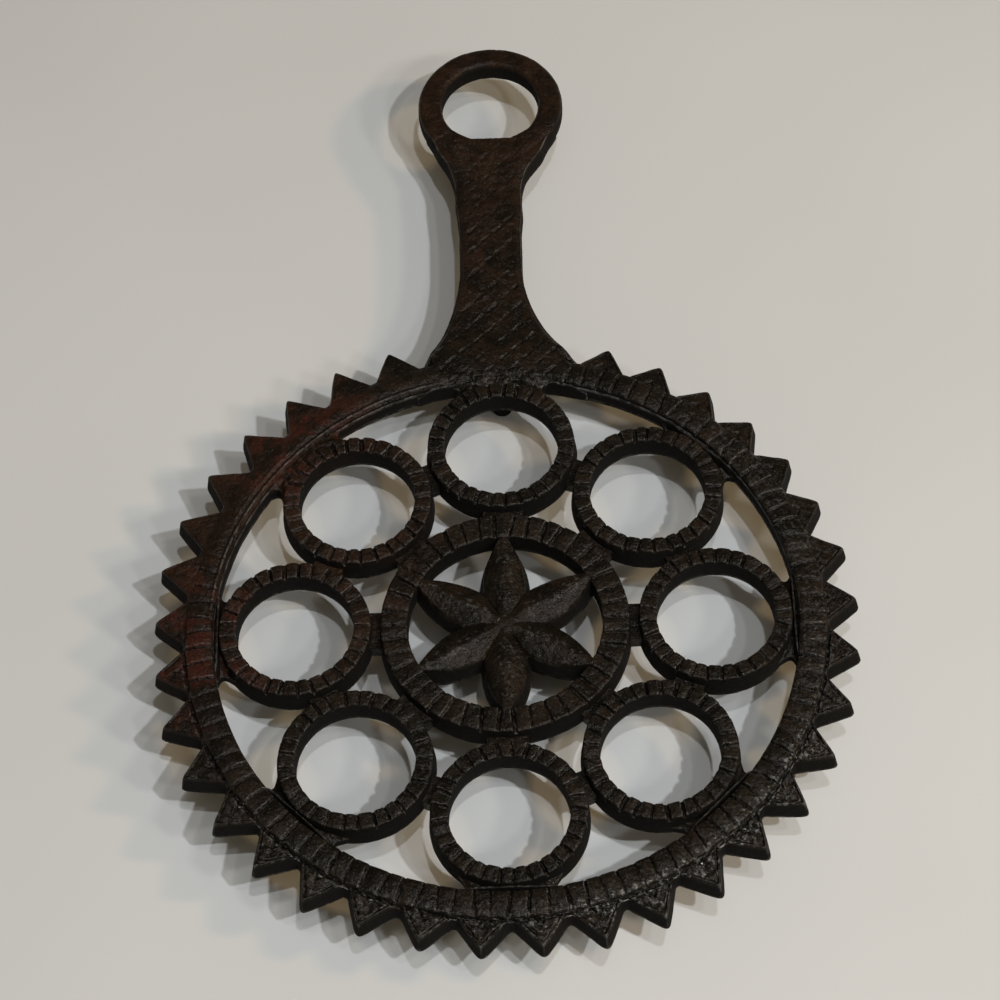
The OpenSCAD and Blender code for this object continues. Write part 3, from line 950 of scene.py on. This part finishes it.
def hatch(x, y):
    """Shares of a rising and of a falling groove at a place on the handle."""
    rising_line, falling_line = y - x, y + x
    # The rising grooves lie closer together near the disc than on the waist
    index = (rising_line - RISING_START) / RISING_SPACING
    index += RISING_CROWDING / RISING_SPACING * past(index, (0.2, 3.6)) * (1 - past(index, (7.2, 2.6)))
    near = abs(index - round(index)) * RISING_SPACING * math.sqrt(0.5)
    rising = notch(near + 0.10 * math.sin(falling_line * 1.3), 0.62, 0.30)
    if not -0.3 < index < RISING_COUNT:
        rising = 0.0
    index = (falling_line - FALLING_START) / FALLING_SPACING
    near = abs(index - round(index)) * FALLING_SPACING * math.sqrt(0.5)
    falling = notch(near + 0.08 * math.sin(rising_line * 1.7), 0.34, 0.28)
    if falling_line >= FALLING_END:
        falling = 0.0
    # A rising groove is deepest halfway along each diamond's side and fades where a falling one crosses it
    crossing = abs(index - round(index))
    return rising * (0.25 + 0.75 * smooth((crossing - 0.07) / 0.16)), falling


class TRIVET_OT_handle(bpy.types.Operator):
    """Hatched handle that runs from the rim's opening into the eye"""
    bl_idname = "trivet.handle"
    bl_label = "Handle"

    def execute(self, context):
        sizes = context.scene.trivet_sizes
        inner = rim_opening(sizes)
        eye_y = EYE.y - DISC.y
        bore_r = sizes.eye_bore / MM / 2
        flat_y = eye_y - bore_r + HANDLE_FLAT
        bm = bmesh.new()
        bmesh.ops.create_grid(bm, x_segments=120, y_segments=300, size=1)
        for v in bm.verts:
            across, along = v.co.x, (v.co.y + 1) / 2
            y = inner + along * (flat_y - inner)
            left, right = handle_edge(-1, y), handle_edge(1, y)
            x = (left + right) / 2 + across * (right - left) / 2
            rim_bend = 1 - smooth((y - inner) / 12)
            y -= rim_bend * (inner - math.sqrt(max(inner * inner - x * x, 0)))
            dx = min(abs(x - EYE.x), bore_r - 0.5)
            round_y = min(max(eye_y - math.sqrt(bore_r * bore_r - dx * dx), flat_y), flat_y + 3.2)
            y += past(y, (HOLE_ROUNDS, flat_y - HOLE_ROUNDS)) * (round_y - flat_y)
            drawn_in = 0.5 * past(y, SIDES_DRAWN_IN)
            left, right = handle_edge(-1, y) + drawn_in, handle_edge(1, y) - drawn_in
            x = (left + right) / 2 + across * (right - left) / 2
            v.co = Vector((DISC.x + x, DISC.y + y, self.height(x, y, left, right, inner, eye_y, bore_r)))
        drop_walls(bm, UNDER_Z, 0.3, 5)
        finish_piece("iron_handle", bm, ["handle"], 81, "browned_iron")
        self.lumps(inner)
        return {"FINISHED"}

    def height(self, x, y, left, right, inner, eye_y, bore_r):
        """Height of the handle's top with its border and crossed grooves."""
        edge = min(x - left, right - x)
        border_on = past(y, BORDER_STARTS)
        wide = BORDER_WIDTH + 0.9 * past(y, BORDER_WIDENS)
        z = DECK_Z + (TOP_Z - DECK_Z - 0.25) * (1 - past(y, ROOT_FALLS))
        z += (EYE_CREST - DECK_Z - 0.5) * past(y, EYE_RISES)
        rising, falling = hatch(x, y)
        inside = smooth((edge - wide * border_on - 0.2) / 0.5)
        rim = 1 - smooth((math.hypot(x, y) - inner) / 1.5)
        broken = smooth(0.55 + 1.6 * ripple(x, y, 0.35, 12.0))
        far = 1 - 0.75 * past(y, GROOVES_FADE)
        deep = GROOVE_DEPTH * max(rising * (0.35 + 0.65 * broken), 0.30 * falling) * inside * far
        worn = 0.85 + 0.45 * ripple(x, y, 0.4, 1.0)
        pillow = (0.16 * ripple(x, y, 0.7, 4.0) + 0.07 * ripple(x, y, 1.8, 6.0)) * inside
        chamfer = 0.5 * (1 - smooth(edge / max(wide, 0.1))) * border_on * (1 - past(y, BORDER_FLATTENS))
        z -= deep * worn + pillow + chamfer + 0.75 * rim
        # The sides of the root sink into the band, and the far corners into the eye
        z -= 1.9 * (1 - smooth((edge - 0.2) / 3.2)) * (1 - past(y, ROOT_SINKS))
        r = math.hypot(x - EYE.x, y - eye_y)
        mid, half = (EYE_R + bore_r) / 2, (EYE_R - bore_r) / 2
        thick = (EYE_CREST - UNDER_Z) / 2
        off = min(abs(r - mid) / half, 0.8)
        eye_z = UNDER_Z + thick + thick * max(1 - off ** 4, 0.0) ** (1 / 4) - 0.12
        into_eye = past(y, EYE_TAKES_OVER) * smooth((abs(x - EYE.x) - 4.0) / 4.0)
        return z + into_eye * (min(eye_z, z + 0.3) - z)

    def lumps(self, inner):
        """Three rough lumps left where the handle's pattern meets the rim's opening."""
        rng = random.Random(7)
        places, drop = (-4.2, 0.9, 6.0), 1.2
        bm = bmesh.new()
        for x in places:
            made = bmesh.ops.create_icosphere(bm, subdivisions=4, radius=1)["verts"]
            size = Vector((2.0 + rng.uniform(-0.25, 0.25), 1.8, 1.1))
            for v in made:
                v.co *= 1 + 0.30 * grain(v.co, 1.3, x) + 0.12 * grain(v.co, 3.0, x)
            bmesh.ops.scale(bm, vec=size, verts=made)
            bmesh.ops.translate(bm, vec=(DISC.x + x, DISC.y + inner + 0.1, TOP_Z - drop), verts=made)
        finish_piece("iron_lumps", bm, [], 83)


class TRIVET_OT_eye(bpy.types.Operator):
    """Rounded hanging eye with a flat at the bottom of its hole"""
    bl_idname = "trivet.eye"
    bl_label = "Hanging eye"

    def execute(self, context):
        sizes = context.scene.trivet_sizes
        bore_r = sizes.eye_bore / MM / 2
        thick = EYE_CREST - UNDER_Z
        bm = bmesh.new()
        bmesh.ops.create_circle(bm, segments=48, radius=1, cap_ends=False)
        for v in bm.verts:
            out, up = v.co.x, v.co.y
            out = math.copysign(abs(out) ** 0.5, out) * (EYE_R - bore_r) / 2
            up = math.copysign(abs(up) ** 0.5, up) * thick / 2
            v.co = Vector((EYE.x + (EYE_R + bore_r) / 2 + out, EYE.y, UNDER_Z + thick / 2 + up))
        full_turn(bm, EYE, 224)
        flat = bore_r - EYE_FLAT
        dents, dent_depth = 15, 0.10
        for v in bm.verts:
            r, a = polar(v.co, EYE)
            inner_share = smooth((EYE_R - r) / (EYE_R - bore_r))
            down = -math.sin(a)
            if down > 0.3:
                r -= (bore_r - min(bore_r, flat / down)) * inner_share
            upper = smooth((v.co.z - UNDER_Z) / thick)
            dent = dent_depth * notch((math.degrees(a) / (360 / dents)) % 1 - 0.5, 0.1, 0.25)
            z = v.co.z - (EYE_SINK * smooth((down - 0.60) / 0.22) + dent) * upper
            v.co = Vector((EYE.x + r * math.cos(a), EYE.y + r * math.sin(a), z))
        bmesh.ops.recalc_face_normals(bm, faces=bm.faces)
        finish_piece("iron_eye", bm, ["hanging_eye"], 91, "browned_iron")
        return {"FINISHED"}


class TRIVET_OT_feet(bpy.types.Operator):
    """Tapered feet under the rim"""
    bl_idname = "trivet.feet"
    bl_label = "Feet"

    def execute(self, context):
        sizes = context.scene.trivet_sizes
        tip = sizes.foot_tip / MM / 2
        for seed, node in enumerate(FOOT_NODES, 95):
            centre = middle(node)
            section = [(0.0, 0.0), (tip - 1.1, 0.0), (tip - 0.45, 0.22), (tip - 0.1, 0.75), (tip, 1.4),
                       (FOOT_BASE_R - 0.2, UNDER_Z - 0.8), (FOOT_BASE_R, UNDER_Z + 0.2), (0.0, UNDER_Z + 0.2)]
            turned_piece("iron_" + node, node, centre, section, 0.7, seed)
        return {"FINISHED"}


class TRIVET_OT_stage(bpy.types.Operator):
    """Plain floor, soft lamps and the camera"""
    bl_idname = "trivet.stage"
    bl_label = "Stage"

    def execute(self, context):
        self.floor(context)
        self.lamps(context)
        self.camera(context)
        context.scene.view_settings.view_transform = "Standard"
        return {"FINISHED"}

    def floor(self, context):
        """Wide sheet of plain pale paper."""
        bm = bmesh.new()
        bmesh.ops.create_grid(bm, x_segments=1, y_segments=1, size=1.5)
        paper = bpy.data.materials.new("paper")
        paper.use_nodes = True
        n = Nodes(paper)
        soft = n.noise(n.add("ShaderNodeTexCoord").outputs["Object"], 9.0)
        tone = context.scene.trivet_finish.floor
        darker = tuple(0.965 * c for c in tone)
        base = n.mix(n.remap(soft, 0.35, 0.65), solid(darker), solid(tone))
        shader = n.add("ShaderNodeBsdfPrincipled", {"Base Color": base, "Roughness": 0.75})
        n.add("ShaderNodeOutputMaterial", {"Surface": shader.outputs["BSDF"]})
        floor = new_object("floor", bm, paper)

    def lamps(self, context):
        """Small ceiling lamps at the right front, whose shadows overlap in steps, and a warm window."""
        target = Vector((0, DISC.y * MM, 0.01))
        distance = 1.2
        warm, neutral, cool = (1.0, 0.74, 0.42), (1.0, 1.0, 1.0), (0.79, 0.87, 1.0)
        # Name, direction from the trivet, diameter in metres, power in watts and colour
        rows = [("ceiling_near", (0.12, -0.20, 1.0), 0.035, 3.3, cool),
                ("ceiling_middle", (0.34, -0.30, 1.0), 0.05, 1.15, cool),
                ("ceiling_right", (0.47, -0.40, 1.0), 0.035, 5.8, cool),
                ("ceiling_front", (0.50, -0.70, 1.0), 0.08, 1.7, cool),
                ("ceiling_side", (0.85, -0.60, 1.0), 0.12, 2.1, neutral),
                ("ceiling_wide", (0.05, -0.22, 1.0), 0.80, 1.3, cool),
                ("window_right", (1.20, -0.15, 1.0), 0.12, 2.8, warm)]
        for name, place, size, power, tint in rows:
            lamp = bpy.data.lights.new(name, "AREA")
            lamp.shape = "DISK"
            lamp.size, lamp.energy, lamp.color = size, power, tint
            holder = bpy.data.objects.new(name, lamp)
            holder.location = target + Vector(place).normalized() * distance
            holder.rotation_euler = (target - holder.location).to_track_quat("-Z", "Y").to_euler()
            context.scene.collection.objects.link(holder)
        world = bpy.data.worlds.new("room")
        context.scene.world = world
        world.use_nodes = True
        back = world.node_tree.nodes["Background"]
        back.inputs["Color"].default_value = (1.0, 0.86, 0.64, 1.0)
        back.inputs["Strength"].default_value = 0.13

    def camera(self, context):
        """Camera at the photograph's viewing angle."""
        roll, tilt, turn = 0.078, -0.559, -0.048
        # Place of the disc's top as the camera sees it, in radii of a ring's hole
        unit = 11.633 * MM
        shift = Vector((0.080, -2.013, -50.96))
        sensor, focal_share = 36, 3.0297
        view = Matrix.Rotation(roll, 3, "Z") @ Matrix.Rotation(tilt, 3, "X") @ Matrix.Rotation(turn, 3, "Z")
        back = view.transposed()
        origin = Vector((DISC.x, DISC.y, TOP_Z)) * MM
        data = bpy.data.cameras.new("camera")
        data.sensor_width = sensor
        data.lens = sensor * focal_share
        data.clip_start, data.clip_end = 0.01, 20
        camera = bpy.data.objects.new("camera", data)
        camera.matrix_world = Matrix.Translation(origin - back @ shift * unit) @ back.to_4x4()
        context.scene.collection.objects.link(camera)
        context.scene.camera = camera


OPERATORS = (TRIVET_OT_teeth, TRIVET_OT_band, TRIVET_OT_rings, TRIVET_OT_hub, TRIVET_OT_star,
             TRIVET_OT_webs, TRIVET_OT_handle, TRIVET_OT_eye, TRIVET_OT_feet, TRIVET_OT_stage)


class TRIVET_PT_panel(bpy.types.Panel):
    """Builds the trivet's pieces one by one"""
    bl_idname = "TRIVET_PT_panel"
    bl_label = "Trivet"
    bl_space_type = "VIEW_3D"
    bl_region_type = "UI"
    bl_category = "Trivet"

    def draw(self, context):
        for operator in OPERATORS:
            self.layout.operator(operator.bl_idname)
        for group in (context.scene.trivet_sizes, context.scene.trivet_finish):
            box = self.layout.box()
            for name in group.bl_rna.properties.keys():
                if name not in ("rna_type", "name"):
                    box.prop(group, name)


CLASSES = (TrivetSizes, TrivetFinish, *OPERATORS, TRIVET_PT_panel)


def register():
    """Adds the classes and the scene's settings."""
    for cls in CLASSES:
        bpy.utils.register_class(cls)
    bpy.types.Scene.trivet_sizes = bpy.props.PointerProperty(type=TrivetSizes)
    bpy.types.Scene.trivet_finish = bpy.props.PointerProperty(type=TrivetFinish)


def unregister():
    """Takes away what register adds."""
    del bpy.types.Scene.trivet_finish
    del bpy.types.Scene.trivet_sizes
    for cls in reversed(CLASSES):
        bpy.utils.unregister_class(cls)


def main():
    """Builds the pieces and the stage in order."""
    register()
    bpy.ops.trivet.teeth()
    bpy.ops.trivet.band()
    bpy.ops.trivet.rings()
    bpy.ops.trivet.hub()
    bpy.ops.trivet.star()
    bpy.ops.trivet.webs()
    bpy.ops.trivet.handle()
    bpy.ops.trivet.eye()
    bpy.ops.trivet.feet()
    bpy.ops.trivet.stage()


if __name__ == "__main__":
    main()
